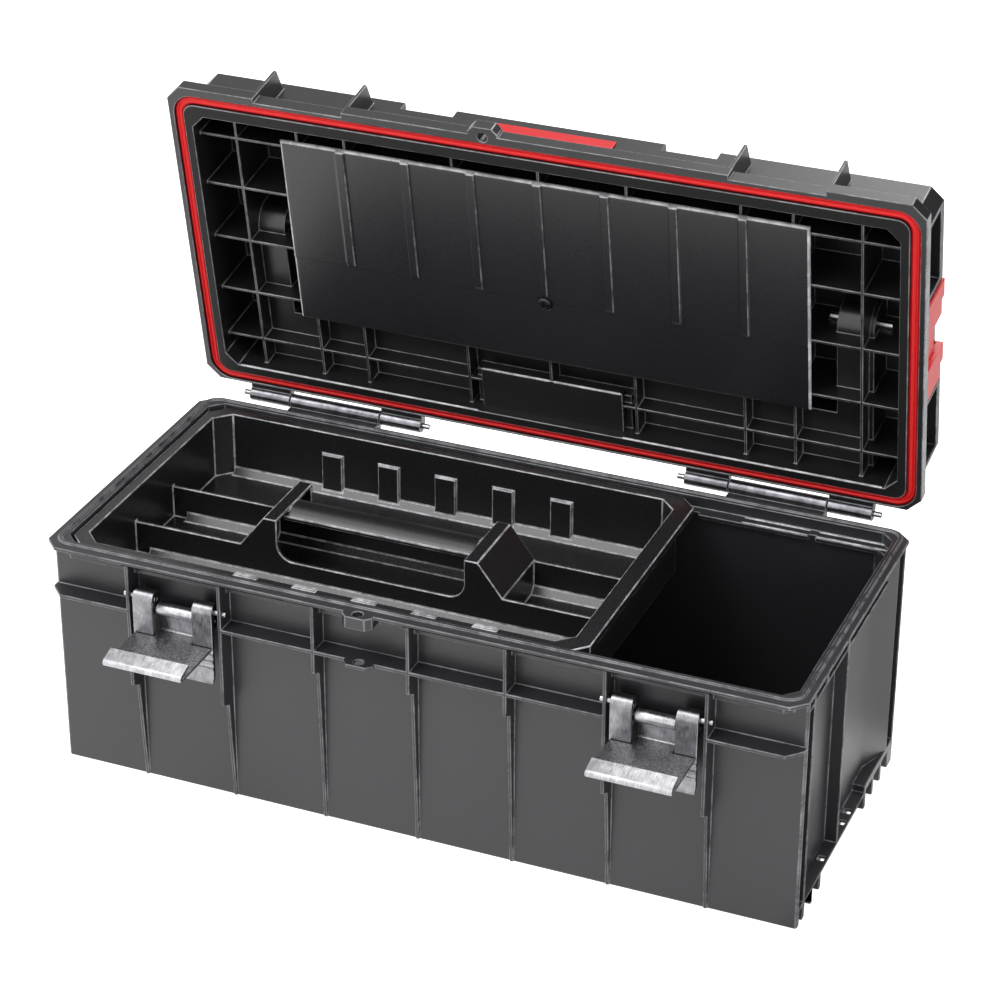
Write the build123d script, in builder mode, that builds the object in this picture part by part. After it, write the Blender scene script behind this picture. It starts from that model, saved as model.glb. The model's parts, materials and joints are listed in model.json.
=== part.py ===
import os
from build123d import *

os.makedirs("parts", exist_ok=True)

# Tool case with its lid standing open, in millimetres.
# X runs along the case, Y from the latches to the hinges, Z up from the resting face.

# Lower case
case_width = 538.0
case_depth = 242.0
case_height = 176.5
flange_thick = 2.6
collar_drop = 12.0
rim_cut = 10.0
body_inset = 1.5
front_set = 15.0
rear_set = 10.0
wall = 3.0
floor_thick = 4.0
corner_cut = 1.2
opening_side = 10.5
opening_front = 12.6
opening_rear = 6.5
opening_cut = 9.0
step_drop = 8.5
tongue_start = 3.0
tongue_thick = 2.6
tongue_height = 1.4

# Recessed ends of the lower case
end_depth = 9.0
end_post = 3.0
end_rear_room = 16.0
end_slope = 30.0
end_sill = 13.6
end_rib = 3.0
end_rib_shares = (0.0645, 0.3986)
rail_thick = 2.0
rail_end_share = 0.81
rail_stop_share = 0.184
dock_height = 11.2
dock_shares = (0.235, 0.687)
dock_hole = 5.0
dock_hole_shares = (0.296, 0.505, 0.57)
foot_block = 5.4
foot_depth = 6.0
foot_front_shares = ((0.02, 0.05), (0.072, 0.138), (0.152, 0.218))
foot_rear_shares = ((0.705, 0.775), (0.79, 0.86), (0.875, 0.945))
shelf_depth = 3.2
shelf_thick = 3.5
shelf_start = 2.0
shelf_gap = 4.8
shelf_gap_share = 0.751

# Ribs and ledge on the front wall
rib_pitch_share = 0.127
rib_thick = 2.5
rib_set = 0.5
rib_step_drop = 54.0
ear_step_drop = 96.0
rib_step_fall = 4.0
rib_low = 7.0
rib_foot = 1.2
ledge_drop = 36.5
ledge_thick = 2.6
lock_share = -0.0636
lock_width = 22.0
lock_reach = 6.0
lock_cut = 4.0
lock_height = 9.0
lock_bore = 7.0
lock_set = 0.5

# Hinge
hinge_back = 13.0
hinge_rise = 2.1
lid_open = 79.7
knuckle_radius = 5.2
hinge_pin_radius = 2.0
pin_play = 0.05
hinge_start_share = 0.1755
lid_knuckle = 32.0
base_knuckle = 71.0
knuckle_gap = 0.6
pin_stick = 6.0
hinge_arm = 6.0

# Lid
lid_gap = 0.3
lid_over = 1.7
lid_rear_over = 3.0
lid_rim = 9.7
lid_height = 53.0
lid_front_set = 17.0
lid_rear_set = 9.0
lid_end_set = 1.7
lid_wall = 3.0
deck_thick = 3.0
lid_side = 11.0
lid_side_head = 7.0
lid_cut = 9.0
grid_rise = 8.7
grid_thick = 2.0
grid_x_shares = (0.0, 0.248, 0.563, 0.705, 0.89)
grid_y_shares = (0.09, 0.283, 0.495, 0.707, 0.90)
fin_thick = 2.5
fin_tip = 39.0
fin_root = 46.0
strike_floor = 5.2
strike_lip = 1.6
strike_height = 10.9
strike_set = 3.3
deck_notch_share = 0.353
deck_notch = 38.0
deck_notch_depth = 7.0
deck_notch_drop = 8.0
seal_start = 4.6
seal_side = 3.2
groove_side = 3.5
groove_depth = 3.4
seal_sink = 1.4

# Cover panel inside the lid
panel_width = 381.0
panel_depth = 148.0
panel_front = 33.0
panel_thick = 2.3
panel_step = 0.6
panel_fold = 96.0
panel_ribs = 7
panel_rib_pitch = 48.3
panel_rib = 7.5
panel_rib_rise = 2.0
screw_radius = 2.0
screw_head = 5.0
screw_head_rise = 2.2
screw_length = 14.0
screw_room = 1.0
screw_back = 2.0
boss_half = 5.0

# Bare plate on the front of the lid
plate_width = 88.0
plate_height = 24.0
plate_thick = 1.6
plate_drop = 32.0

# Carry handle and its wells in the lid
handle_inset = 36.3
arm_width = 12.0
arm_height = 14.0
arm_reach = 92.0
handle_pivot_rise = 37.0
handle_pivot_back = 0.0
hub_radius = 8.0
bar_depth = 18.0
bar_height = 14.0
bar_cut = 4.5
grip_width = 120.0
grip_wall = 2.0
handle_pin_radius = 3.0
handle_pin_length = 44.0
well_wall = 3.0
well_room = 4.0
hand_width = 110.0
hand_deep = 8.8
hand_set = 12.0
finger_room = 9.0

# Clips at the ends of the lid
clip_length = 80.0
clip_back = 6.0
clip_block = 28.0
clip_step = 1.2
clip_height = 41.0
clip_thick = 10.6
clip_bar_thick = 5.0
clip_bar_height = 24.0
clip_bar_low = 3.0
clip_room = 1.8
clip_low = 3.0
clip_pin_radius = 1.6
clip_pin_drop = 3.2
clip_pin_out = 3.8
clip_play = 1.0
side_rib = 3.0

# Latches
latch_drop = 26.0
latch_set = 4.5
latch_pin_radius = 2.2
latch_pin_stick = 2.6
latch_play = 3.2
lug_radius = 6.0
lug_width = 15.0
lever_thick = 3.0
lever_length = 48.0
lever_foot = 4.0
lever_foot_out = 2.4
lever_ridges = 3
lever_ridge_pitch = 5.4
lever_ridge_rise = 1.0
lever_ridge_height = 2.2
axle_radius = 1.75
axle_drop = 7.2
axle_back = 1.0
axle_boss = 4.2
hook_knuckle = 4.6
hook_stand = 18.0
hook_thick = 2.2
hook_neck = 27.4
hook_width = 58.0
hook_lip = 58.0
hook_reach = 52.0
claw_back = 12.5
claw_rise = 8.2
claw_thick = 2.2
claw_front = 2.4
claw_root = 4.8
hook_gap = 0.8
sill_gap = 0.9

# Lift-out tray
tray_play = 1.0
tray_right_share = 0.438
tray_rim_drop = 2.5
tray_skirt = 5.7
tray_rim_thick = 2.5
tray_side = 8.0
tray_right_side = 13.0
tray_wall = 2.5
tray_depth = 48.0
tray_cut = 11.0
divider_thick = 2.5
divider_gap = 56.0
divider_height = 24.0
bracket_top = 10.0
bracket_in = 69.7
bracket_out = 98.0
window_base = 17.5
window_round = 12.0
grip_depth = 26.0
grip_thick = 8.0
grip_edge = 3.0
bevel = 5.0
pad_pitch = 44.4
pad_width = 16.0
pad_rise = 2.5
pad_height = 31.0
pad_count = 5
tab_pitch = 43.0
tab_offset = 31.0
tab_depth = 4.0
tab_rise = 1.2

overrun = 1.0
quarter_turn = 90.0
sides = ((-1, "left"), (1, "right"))

# Derived positions
rim_x = case_width / 2
rim_y = case_depth / 2
body_x = rim_x - body_inset
body_front = front_set - rim_y
body_rear = rim_y - rear_set
body_top = case_height - flange_thick
collar_z = case_height - collar_drop
tub_x = body_x - end_depth - wall
tub_front = body_front + wall
tub_rear = body_rear - wall
open_x = rim_x - opening_side
open_front = opening_front - rim_y
open_rear = rim_y - opening_rear
collar_x = open_x + wall
collar_front = open_front - wall
collar_rear = open_rear + wall
step_z = case_height - step_drop
rib_pitch = case_width * rib_pitch_share
rib_front = rib_set - rim_y
ear_x = (2 * rib_pitch, 3 * rib_pitch)
latch_x = (ear_x[0] + ear_x[1]) / 2
latch_bay = ear_x[1] - ear_x[0] - rib_thick
lock_x = case_width * lock_share
lock_y = -rim_y - lock_set
hinge_y = rim_y + hinge_back
hinge_z = case_height + hinge_rise
hinge_in = case_width * hinge_start_share
lid_x = rim_x + lid_over
lid_front = -rim_y - lid_over
lid_rear = rim_y + lid_rear_over
lid_base = case_height + lid_gap
lid_rim_top = lid_base + lid_rim
deck_top = lid_base + lid_height
deck_under = deck_top - deck_thick
crown_x = rim_x - lid_end_set
crown_front = lid_front_set - rim_y
crown_rear = rim_y - lid_rear_set
cave_x = crown_x - lid_side - lid_wall
cave_front = crown_front + lid_wall
cave_rear = crown_rear - lid_wall
grid_z = lid_base + grid_rise
handle_x = cave_x - handle_inset
pivot_y = handle_pivot_back
pivot_z = lid_base + handle_pivot_rise
bar_y = pivot_y + arm_reach
latch_y = latch_set - rim_y
latch_z = case_height - latch_drop
lever_half = latch_bay / 2 - latch_play
lever_face = latch_y - lug_radius
axle_y = latch_y + axle_back
axle_z = latch_z - axle_drop
hook_z = axle_z - hook_stand
clip_x = crown_x - lid_side + clip_room
clip_low_z = lid_rim_top + clip_low
clip_pin_z = clip_low_z + clip_height - clip_pin_drop
clip_pin_x = clip_x + clip_pin_out


# Bodies that repeat
def block(x_low, x_high, y_low, y_high, z_low, z_high, mode=Mode.ADD):
    with Locations(((x_low + x_high) / 2, (y_low + y_high) / 2, (z_low + z_high) / 2)):
        Box(x_high - x_low, y_high - y_low, z_high - z_low, mode=mode)


def slab(x_low, x_high, y_low, y_high, z_low, z_high, cut, mode=Mode.ADD):
    with BuildSketch(Plane.XY.offset(z_low)) as outline:
        with Locations(((x_low + x_high) / 2, (y_low + y_high) / 2)):
            Rectangle(x_high - x_low, y_high - y_low)
        chamfer(outline.vertices(), cut)
    extrude(outline.sketch, amount=z_high - z_low, mode=mode)


def ring(start, width, z_low, z_high, mode=Mode.ADD):
    with BuildSketch(Plane.XY.offset(z_low)) as outline:
        with Locations((0, (open_front + open_rear) / 2)):
            RectangleRounded(
                2 * (open_x + start + width), open_rear - open_front + 2 * (start + width), opening_cut + width
            )
            RectangleRounded(
                2 * (open_x + start), open_rear - open_front + 2 * start, opening_cut, mode=Mode.SUBTRACT
            )
    extrude(outline.sketch, amount=z_high - z_low, mode=mode)


def rod(x_low, x_high, y, z, radius, mode=Mode.ADD):
    with Locations(Location(((x_low + x_high) / 2, y, z), (0, quarter_turn, 0))):
        Cylinder(radius, x_high - x_low, mode=mode)


def rod_y(x, y_low, y_high, z, radius, mode=Mode.ADD):
    with Locations(Location((x, (y_low + y_high) / 2, z), (quarter_turn, 0, 0))):
        Cylinder(radius, y_high - y_low, mode=mode)


def post(x, y, z_low, z_high, radius, mode=Mode.ADD):
    with Locations((x, y, (z_low + z_high) / 2)):
        Cylinder(radius, z_high - z_low, mode=mode)


def across(x_low, x_high, points, mode=Mode.ADD):
    with BuildSketch(Plane.YZ.offset(x_low)) as outline:
        with BuildLine():
            Polyline(*points, close=True)
        make_face()
    extrude(outline.sketch, amount=x_high - x_low, mode=mode)


def beam(half, y, z, depth, height, cut, mode=Mode.ADD):
    with BuildSketch(Plane.YZ.offset(-half)) as outline:
        with Locations((y, z)):
            Rectangle(depth, height)
        chamfer(outline.vertices(), cut)
    extrude(outline.sketch, amount=2 * half, mode=mode)


def upright(z_low, z_high, points, mode=Mode.ADD):
    with BuildSketch(Plane.XY.offset(z_low)) as outline:
        with BuildLine():
            Polyline(*points, close=True)
        make_face()
    extrude(outline.sketch, amount=z_high - z_low, mode=mode)


def span(side, near, far):
    return sorted((side * near, side * far))


swing = Pos(0, hinge_y, hinge_z) * Rot(-lid_open, 0, 0) * Pos(0, -hinge_y, -hinge_z)

# Lower case: walls, rim with its sealing tongue, recessed ends and front ribs
with BuildPart() as base_tub:
    slab(-body_x, body_x, body_front, body_rear, 0, body_top, corner_cut)
    end_low = body_front + end_post
    end_high = body_rear - end_rear_room
    body_depth = body_rear - body_front
    dock_low = body_front + body_depth * dock_shares[0]
    dock_high = body_front + body_depth * dock_shares[1]
    foot_top = end_sill + foot_block
    for side, name in sides:
        recess = (
            (side * (body_x + overrun), end_low),
            (side * (body_x - end_depth), end_low),
            (side * (body_x - end_depth), end_high - end_slope),
            (side * (body_x + overrun), end_high),
        )
        upright(end_sill, body_top, recess, Mode.SUBTRACT)
        x_low, x_high = span(side, body_x - end_depth, body_x + overrun)
        block(x_low, x_high, end_high, body_rear - end_post, foot_top, body_top, Mode.SUBTRACT)
        block(x_low, x_high, dock_low, dock_high, -overrun, dock_height, Mode.SUBTRACT)
        x_low, x_high = span(side, body_x - end_depth - wall / 2, body_x)
        for share in end_rib_shares:
            rib_y = body_front + body_depth * share
            block(x_low, x_high, rib_y - end_rib / 2, rib_y + end_rib / 2, end_sill, body_top)
        rail_end = body_front + body_depth * rail_end_share
        block(x_low, x_high, end_low - overrun, rail_end, collar_z, collar_z + rail_thick)
        stop_y = body_front + body_depth * rail_stop_share
        block(x_low, x_high, stop_y - end_rib / 2, stop_y + end_rib / 2, collar_z, body_top)
        block(x_low, x_high, dock_high, end_high, end_sill - overrun, foot_top)
        x_low, x_high = span(side, body_x - foot_depth, body_x + overrun)
        for pockets, pocket_top in ((foot_front_shares, dock_height), (foot_rear_shares, end_sill)):
            for low_share, high_share in pockets:
                block(
                    x_low, x_high, body_front + body_depth * low_share, body_front + body_depth * high_share,
                    -overrun, pocket_top, Mode.SUBTRACT,
                )
        hole_x = side * (body_x - end_depth / 2)
        for share in dock_hole_shares:
            hole_y = body_front + body_depth * share
            block(
                hole_x - dock_hole / 2, hole_x + dock_hole / 2, hole_y - dock_hole / 2, hole_y + dock_hole / 2,
                dock_height - overrun, end_sill + overrun, Mode.SUBTRACT,
            )
    slab(-collar_x, collar_x, collar_front, collar_rear, collar_z, case_height, opening_cut)
    slab(-rim_x, rim_x, -rim_y, rim_y, body_top, case_height, rim_cut)
    ledge_z = case_height - ledge_drop
    ledge_points = (
        (-body_x, tub_front),
        (-body_x, rib_front + rim_cut),
        (rim_cut - body_x, rib_front),
        (body_x - rim_cut, rib_front),
        (body_x, rib_front + rim_cut),
        (body_x, tub_front),
    )
    upright(ledge_z - ledge_thick, ledge_z, ledge_points)
    for bay in (-latch_x, latch_x):
        block(
            bay - latch_bay / 2, bay + latch_bay / 2, -rim_y, body_front,
            ledge_z - ledge_thick, ledge_z, Mode.SUBTRACT,
        )
    for count in range(-3, 4):
        drop = ear_step_drop if abs(count) > 1 else rib_step_drop
        rib_points = (
            (tub_front, body_top + overrun),
            (rib_front, body_top + overrun),
            (rib_front, case_height - drop),
            (body_front - rib_low, case_height - drop - rib_step_fall),
            (body_front - rib_foot, 0),
            (tub_front, 0),
        )
        across(count * rib_pitch - rib_thick / 2, count * rib_pitch + rib_thick / 2, rib_points)
    for top in (case_height, ledge_z):
        low = top - lock_height if top == case_height else ledge_z - ledge_thick
        slab(
            lock_x - lock_width / 2, lock_x + lock_width / 2, -rim_y - lock_reach, body_front,
            low, top, lock_cut,
        )
    slab(-tub_x, tub_x, tub_front, tub_rear, floor_thick, case_height, opening_cut, Mode.SUBTRACT)
    slab(-open_x, open_x, open_front, open_rear, step_z, case_height + overrun, opening_cut, Mode.SUBTRACT)
    lock_low = ledge_z - ledge_thick - overrun
    post(lock_x, lock_y, lock_low, case_height + overrun, lock_bore / 2, Mode.SUBTRACT)
    ring(tongue_start, tongue_thick, case_height, case_height + tongue_height)
    shelf_low = rim_x * tray_right_share + shelf_start
    shelf_break = rim_x * shelf_gap_share
    for x_low, x_high in ((shelf_low, shelf_break - shelf_gap / 2), (shelf_break + shelf_gap / 2, tub_x)):
        block(x_low, x_high, tub_rear - shelf_depth, tub_rear + overrun, step_z - shelf_thick, step_z)
    for side, name in sides:
        knuckle_low = hinge_in + pin_stick + lid_knuckle + knuckle_gap
        x_low, x_high = span(side, knuckle_low, knuckle_low + base_knuckle)
        block(x_low, x_high, open_rear + wall / 2, hinge_y, hinge_z - hinge_arm - wall, hinge_z - wall)
        rod(x_low, x_high, hinge_y, hinge_z, knuckle_radius)
        rod(x_low, x_high, hinge_y, hinge_z, hinge_pin_radius + pin_play, Mode.SUBTRACT)
        x_low, x_high = span(side, ear_x[0] - rib_pitch / 2, ear_x[1] + rib_pitch / 2)
        rod(x_low, x_high, latch_y, latch_z, latch_pin_radius + pin_play, Mode.SUBTRACT)
base_tub.part.label = "base_tub"
export_step(base_tub.part, "parts/base_tub.step")

# Lid: rim with the seal groove, crown with a rib grid inside, strikes, fins and handle wells
with BuildPart() as lid_shell:
    slab(-crown_x, crown_x, crown_front, crown_rear, lid_base, deck_top, lid_cut)
    slab(-lid_x, lid_x, lid_front, lid_rear, lid_base, lid_rim_top, rim_cut)
    for side, name in sides:
        x_low, x_high = span(side, ear_x[0], ear_x[1])
        pocket_low = lid_base + strike_floor
        block(x_low, x_high, lid_front - overrun, crown_front, pocket_low, lid_rim_top, Mode.SUBTRACT)
        lip_front = lid_front + strike_set
        block(x_low, x_high, lid_front - overrun, lip_front, lid_base, lid_rim_top, Mode.SUBTRACT)
        block(x_low, x_high, lip_front, lip_front + strike_lip, lid_base, lid_base + strike_height)
        fin_points = (
            (cave_front, lid_base),
            (lid_front, lid_base),
            (lid_front, lid_base + fin_tip),
            (crown_front, lid_base + fin_root),
            (cave_front, lid_base + fin_root),
        )
        for fin_x in ear_x:
            across(side * fin_x - fin_thick / 2, side * fin_x + fin_thick / 2, fin_points)
        x_low, x_high = span(side, crown_x - lid_side, crown_x + overrun)
        clip_mid = clip_back
        clip_low_y = clip_mid - clip_length / 2 - clip_play
        clip_high_y = clip_mid + clip_length / 2 + clip_play
        bays = (
            (crown_front + lid_cut + side_rib, clip_low_y - side_rib),
            (clip_low_y, clip_high_y),
            (clip_high_y + side_rib, crown_rear - lid_cut - side_rib),
        )
        for bay_low, bay_high in bays:
            head = deck_top + overrun if bay_low == clip_low_y else deck_top - lid_side_head
            block(x_low, x_high, bay_low, bay_high, lid_rim_top, head, Mode.SUBTRACT)
        rod_y(
            side * clip_pin_x, clip_low_y - side_rib - overrun, clip_high_y + side_rib + overrun, clip_pin_z,
            clip_pin_radius + pin_play, Mode.SUBTRACT,
        )
        notch_x = side * rim_x * deck_notch_share
        block(
            notch_x - deck_notch / 2, notch_x + deck_notch / 2, crown_front - overrun,
            crown_front + deck_notch_depth, deck_top - deck_notch_drop, deck_top + overrun, Mode.SUBTRACT,
        )
    slab(
        lock_x - lock_width / 2, lock_x + lock_width / 2, lid_front - lock_reach, crown_front,
        lid_base, lid_rim_top, lock_cut,
    )
    slab(-cave_x, cave_x, cave_front, cave_rear, lid_base - overrun, deck_under, opening_cut, Mode.SUBTRACT)
    post(lock_x, lock_y, lid_base - overrun, lid_rim_top + overrun, lock_bore / 2, Mode.SUBTRACT)
    cave_depth = cave_rear - cave_front
    for share in grid_x_shares:
        for side in (-1, 1):
            rib_x = side * cave_x * share
            block(
                rib_x - grid_thick / 2, rib_x + grid_thick / 2, cave_front - overrun, cave_rear + overrun,
                grid_z, deck_top - overrun,
            )
    for share in grid_y_shares:
        rib_y = cave_front + cave_depth * share
        block(
            -cave_x - overrun, cave_x + overrun, rib_y - grid_thick / 2, rib_y + grid_thick / 2,
            grid_z, deck_top - overrun,
        )
    for side in (-1, 1):
        notch_x = side * rim_x * deck_notch_share
        block(
            notch_x - deck_notch / 2 - lid_wall, notch_x + deck_notch / 2 + lid_wall, cave_front,
            crown_front + deck_notch_depth + lid_wall, deck_top - deck_notch_drop - deck_thick, deck_top,
        )
        block(
            notch_x - deck_notch / 2, notch_x + deck_notch / 2, crown_front - overrun,
            crown_front + deck_notch_depth, deck_top - deck_notch_drop, deck_top + overrun, Mode.SUBTRACT,
        )
    well_round = hub_radius + well_room
    well_floor = pivot_z - well_round
    bar_low_y = bar_y - bar_depth / 2 - grip_wall - finger_room
    bar_high_y = bar_y + bar_depth / 2 + grip_wall + well_room
    arm_half = arm_width / 2 + well_room
    bar_half = handle_x + arm_half
    hand_floor = well_floor - hand_deep
    screw_y = crown_front + panel_front - lid_front_set + panel_fold + screw_back
    block(
        -bar_half - well_wall, bar_half + well_wall, bar_low_y - well_wall, bar_high_y + well_wall,
        well_floor - well_wall, deck_top,
    )
    block(
        -hand_width / 2 - well_wall, hand_width / 2 + well_wall, bar_low_y + hand_set - well_wall,
        bar_high_y + well_wall, hand_floor - well_wall, deck_top,
    )
    for side in (-1, 1):
        x_low = side * handle_x - arm_half - well_wall
        x_high = side * handle_x + arm_half + well_wall
        block(x_low, x_high, pivot_y, bar_y, well_floor - well_wall, deck_top)
        block(x_low, x_high, pivot_y - well_round - well_wall, pivot_y, pivot_z, deck_top)
        rod(x_low, x_high, pivot_y, pivot_z, well_round + well_wall)
    block(-bar_half, bar_half, bar_low_y, bar_high_y, well_floor, deck_top + overrun, Mode.SUBTRACT)
    block(
        -hand_width / 2, hand_width / 2, bar_low_y + hand_set, bar_high_y, hand_floor, deck_top + overrun,
        Mode.SUBTRACT,
    )
    for side in (-1, 1):
        x_low = side * handle_x - arm_half
        x_high = side * handle_x + arm_half
        block(x_low, x_high, pivot_y, bar_y, well_floor, deck_top + overrun, Mode.SUBTRACT)
        block(x_low, x_high, pivot_y - well_round, pivot_y, pivot_z, deck_top + overrun, Mode.SUBTRACT)
        rod(x_low, x_high, pivot_y, pivot_z, well_round, Mode.SUBTRACT)
        pin_low = side * handle_x - handle_pin_length / 2
        pin_high = pin_low + handle_pin_length
        rod(pin_low, pin_high, pivot_y, pivot_z, handle_pin_radius + pin_play, Mode.SUBTRACT)
    block(-boss_half, boss_half, screw_y - boss_half, screw_y + boss_half, grid_z, deck_top - overrun)
    post(0, screw_y, grid_z - overrun, grid_z + screw_length, screw_radius + pin_play, Mode.SUBTRACT)
    ring(seal_start - groove_side, 2 * groove_side, lid_base - overrun, lid_base + groove_depth, Mode.SUBTRACT)
    for side in (-1, 1):
        near = hinge_in + pin_stick
        far = near + lid_knuckle + base_knuckle + 2 * knuckle_gap
        for start in (near, far):
            x_low, x_high = span(side, start, start + lid_knuckle)
            block(x_low, x_high, lid_rear - overrun, hinge_y, hinge_z, hinge_z + hinge_arm)
            rod(x_low, x_high, hinge_y, hinge_z, knuckle_radius)
            rod(x_low, x_high, hinge_y, hinge_z, hinge_pin_radius + pin_play, Mode.SUBTRACT)
    add(lid_shell.part.moved(swing), mode=Mode.REPLACE)
lid_shell.part.label = "lid_shell"
export_step(lid_shell.part, "parts/lid_shell.step")

# Seal in the lid's groove
with BuildPart() as lid_seal:
    ring(seal_start - seal_side, 2 * seal_side, lid_base + seal_sink, lid_base + groove_depth)
    add(lid_seal.part.moved(swing), mode=Mode.REPLACE)
lid_seal.part.label = "lid_seal"
export_step(lid_seal.part, "parts/lid_seal.step")

# Cover panel screwed to the rib grid
with BuildPart() as lid_panel:
    panel_low = panel_front - rim_y
    panel_x = panel_width / 2
    panel_z = grid_z - panel_thick
    block(-panel_x, panel_x, panel_low, panel_low + panel_fold, panel_z, grid_z)
    block(-panel_x, panel_x, panel_low + panel_fold, panel_low + panel_depth, panel_z + panel_step, grid_z)
    for count in range(panel_ribs):
        rib_x = (count - (panel_ribs - 1) / 2) * panel_rib_pitch
        block(
            rib_x - panel_rib / 2, rib_x + panel_rib / 2, panel_low, panel_low + panel_fold,
            panel_z - panel_rib_rise, panel_z,
        )
    post(0, screw_y, panel_z - panel_rib_rise, panel_z + panel_step, screw_head + screw_room, Mode.SUBTRACT)
    post(0, screw_y, panel_z, grid_z, screw_radius + pin_play, Mode.SUBTRACT)
    add(lid_panel.part.moved(swing), mode=Mode.REPLACE)
lid_panel.part.label = "lid_panel"
export_step(lid_panel.part, "parts/lid_panel.step")

# Screw that holds the cover panel
with BuildPart() as panel_screw:
    head_z = panel_z + panel_step
    post(0, screw_y, head_z - screw_head_rise, head_z, screw_head)
    post(0, screw_y, head_z, grid_z + screw_length, screw_radius)
    add(panel_screw.part.moved(swing), mode=Mode.REPLACE)
panel_screw.part.label = "panel_screw"
export_step(panel_screw.part, "parts/panel_screw.step")

# Bare plate on the lid's front wall
with BuildPart() as front_plate:
    plate_top = deck_top - (lid_height - plate_drop - plate_height / 2)
    block(
        -plate_width / 2, plate_width / 2, crown_front - plate_thick, crown_front,
        plate_top - plate_height, plate_top,
    )
    add(front_plate.part.moved(swing), mode=Mode.REPLACE)
front_plate.part.label = "front_plate"
export_step(front_plate.part, "parts/front_plate.step")

# Hinge pins
for side, name in sides:
    with BuildPart() as hinge_pin:
        pin_length = 2 * (pin_stick + lid_knuckle + knuckle_gap) + base_knuckle
        x_low, x_high = span(side, hinge_in, hinge_in + pin_length)
        rod(x_low, x_high, hinge_y, hinge_z, hinge_pin_radius)
    hinge_pin.part.label = "hinge_pin_" + name
    export_step(hinge_pin.part, "parts/hinge_pin_" + name + ".step")

# Carry handle folded into its well
with BuildPart() as carry_handle:
    bar_z = pivot_z
    beam(handle_x + arm_width / 2, bar_y, bar_z, bar_depth, bar_height, bar_cut)
    for side in (-1, 1):
        block(
            side * handle_x - arm_width / 2, side * handle_x + arm_width / 2, pivot_y, bar_y,
            pivot_z - arm_height / 2, pivot_z + arm_height / 2,
        )
        rod(
            side * handle_x - arm_width / 2, side * handle_x + arm_width / 2, pivot_y, pivot_z, hub_radius,
        )
        rod(
            side * handle_x - arm_width, side * handle_x + arm_width, pivot_y, pivot_z,
            handle_pin_radius + pin_play, Mode.SUBTRACT,
        )
    add(carry_handle.part.moved(swing), mode=Mode.REPLACE)
carry_handle.part.label = "carry_handle"
export_step(carry_handle.part, "parts/carry_handle.step")

# Soft grip around the middle of the handle bar
with BuildPart() as handle_grip:
    grip_cut = bar_cut + grip_wall / 2
    beam(grip_width / 2, bar_y, bar_z, bar_depth + 2 * grip_wall, bar_height + 2 * grip_wall, grip_cut)
    beam(grip_width / 2, bar_y, bar_z, bar_depth, bar_height, bar_cut, Mode.SUBTRACT)
    add(handle_grip.part.moved(swing), mode=Mode.REPLACE)
handle_grip.part.label = "handle_grip"
export_step(handle_grip.part, "parts/handle_grip.step")

# Handle pins
for side, name in sides:
    with BuildPart() as handle_pin:
        pin_low = side * handle_x - handle_pin_length / 2
        rod(pin_low, pin_low + handle_pin_length, pivot_y, pivot_z, handle_pin_radius)
        add(handle_pin.part.moved(swing), mode=Mode.REPLACE)
    handle_pin.part.label = "handle_pin_" + name
    export_step(handle_pin.part, "parts/handle_pin_" + name + ".step")

# Clips at the lid's ends, with their pins
for side, name in sides:
    clip_low_y = clip_back - clip_length / 2
    clip_high_y = clip_back + clip_length / 2
    with BuildPart() as side_clip:
        x_low, x_high = span(side, clip_x, clip_x + clip_thick)
        clip_high_z = clip_low_z + clip_height
        for y_low in (clip_low_y, clip_high_y - clip_block):
            block(x_low, x_high, y_low, y_low + clip_block / 2, clip_low_z, clip_high_z)
        x_low, x_high = span(side, clip_x, clip_x + clip_thick - clip_step)
        for y_low in (clip_low_y, clip_high_y - clip_block):
            block(x_low, x_high, y_low, y_low + clip_block, clip_low_z, clip_high_z - clip_step)
        bar_inset = (clip_thick - clip_bar_thick) / 2
        x_low, x_high = span(side, clip_x + bar_inset, clip_x + bar_inset + clip_bar_thick)
        bar_low_z = clip_low_z + clip_bar_low
        block(x_low, x_high, clip_low_y, clip_high_y, bar_low_z, bar_low_z + clip_bar_height)
        rod_y(
            side * clip_pin_x, clip_low_y - overrun, clip_high_y + overrun, clip_pin_z,
            clip_pin_radius + pin_play, Mode.SUBTRACT,
        )
        add(side_clip.part.moved(swing), mode=Mode.REPLACE)
    side_clip.part.label = "side_clip_" + name
    export_step(side_clip.part, "parts/side_clip_" + name + ".step")
    with BuildPart() as clip_pin:
        rod_y(
            side * clip_pin_x, clip_low_y - clip_play - side_rib, clip_high_y + clip_play + side_rib,
            clip_pin_z, clip_pin_radius,
        )
        add(clip_pin.part.moved(swing), mode=Mode.REPLACE)
    clip_pin.part.label = "clip_pin_" + name
    export_step(clip_pin.part, "parts/clip_pin_" + name + ".step")

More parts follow.
